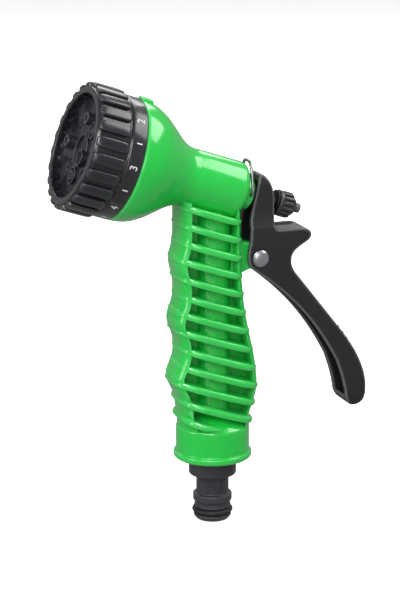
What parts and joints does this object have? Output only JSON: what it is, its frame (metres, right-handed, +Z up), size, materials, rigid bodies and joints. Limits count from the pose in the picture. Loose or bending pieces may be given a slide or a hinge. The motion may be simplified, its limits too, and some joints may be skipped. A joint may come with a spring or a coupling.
{
  "type": "hose spray gun",
  "caption": "Pistol-grip hose spray gun: ribbed grip, tilted barrel, turning pattern dial with recessed nozzle face, rear squeeze lever, flow knob, hold-open bail and quick-connect tail.",
  "frame": {"origin": "centre of the end face of the hose connector spigot, on the axis of the grip", "axes": "+Z up along the connector and grip axis; -X is the way the spray leaves; the lever is on the +X side; +Y is the gun's right side seen from behind the lever"},
  "size_m": [0.1336, 0.0528, 0.1884],
  "materials": {
    "green_plastic": "glossy moulded green",
    "dial_plastic": "glossy black",
    "lever_plastic": "fine satin black",
    "knob_plastic": "semi-gloss black",
    "tail_plastic": "satin dark grey",
    "inner_plastic": "natural",
    "rubber": "matte",
    "steel": "zinc plated",
    "wire_steel": "bright drawn wire",
    "brass": "turned"
  },
  "bodies": {
    "housing_body": {"housing": "green_plastic", "rear_gland": "green_plastic", "distributor_plate": "inner_plastic", "outlet_seal": "rubber", "detent_ball": "steel", "detent_spring": "steel", "valve_seat": "brass", "return_spring": "steel", "spring_washer": "brass", "stem_o_ring": "rubber", "gland_o_ring": "rubber", "dial_screw": "steel", "dial_washer": "steel", "hose_connector": "tail_plastic", "connector_o_ring": "rubber", "connector_washer": "rubber"},
    "dial": {"dial_ring": "dial_plastic", "nozzle_plate": "dial_plastic", "dial_back_plate": "dial_plastic", "jet_nozzle": "dial_plastic", "swirl_plug_mist": "inner_plastic", "swirl_plug_cone": "inner_plastic"},
    "stem": {"valve_stem": "lever_plastic", "valve_plug": "inner_plastic", "plug_seal": "rubber", "plug_screw": "brass"},
    "washer": {"knob_washer": "steel"},
    "knob": {"flow_knob": "knob_plastic"},
    "trigger": {"lever": "lever_plastic", "pivot_rivet": "steel"},
    "bail": {"hold_open_bail": "wire_steel"}
  },
  "joints": [
    {"name": "dial_spin", "type": "hinge", "parent": "housing_body", "child": "dial", "pos_m": [0, 0, 0.1437], "axis": [0.9466, 0, -0.3223], "continuous": true},
    {"name": "trigger_squeeze", "type": "hinge", "parent": "housing_body", "child": "trigger", "pos_m": [0.0181, 0, 0.1128], "axis": [0, 1, 0], "range_deg": [0, 15], "stiffness_Nm_per_rad": 2, "springref_deg": -11.46},
    {"name": "stem_slide", "type": "slide", "parent": "housing_body", "child": "stem", "axis": [0.9466, 0, -0.3223], "range_m": [0, 0.005], "deforming": ["return_spring"]},
    {"name": "knob_feed", "type": "slide", "parent": "stem", "child": "washer", "axis": [0.9466, 0, -0.3223], "range_m": [0, 0.002]},
    {"name": "knob_turn", "type": "hinge", "parent": "washer", "child": "knob", "pos_m": [0.02764, 0, 0.13429], "axis": [0.9466, 0, -0.3223], "range_deg": [0, 720]},
    {"name": "bail_swing", "type": "hinge", "parent": "housing_body", "child": "bail", "pos_m": [0.0142, 0, 0.1395], "axis": [0, 1, 0], "range_deg": [0, 12]}
  ],
  "couplings": [
    {"joint": "stem_slide", "follows": "trigger_squeeze", "m_per_rad": 0.018},
    {"joint": "knob_turn", "follows": "knob_feed", "rad_per_m": 6283.2}
  ]
}
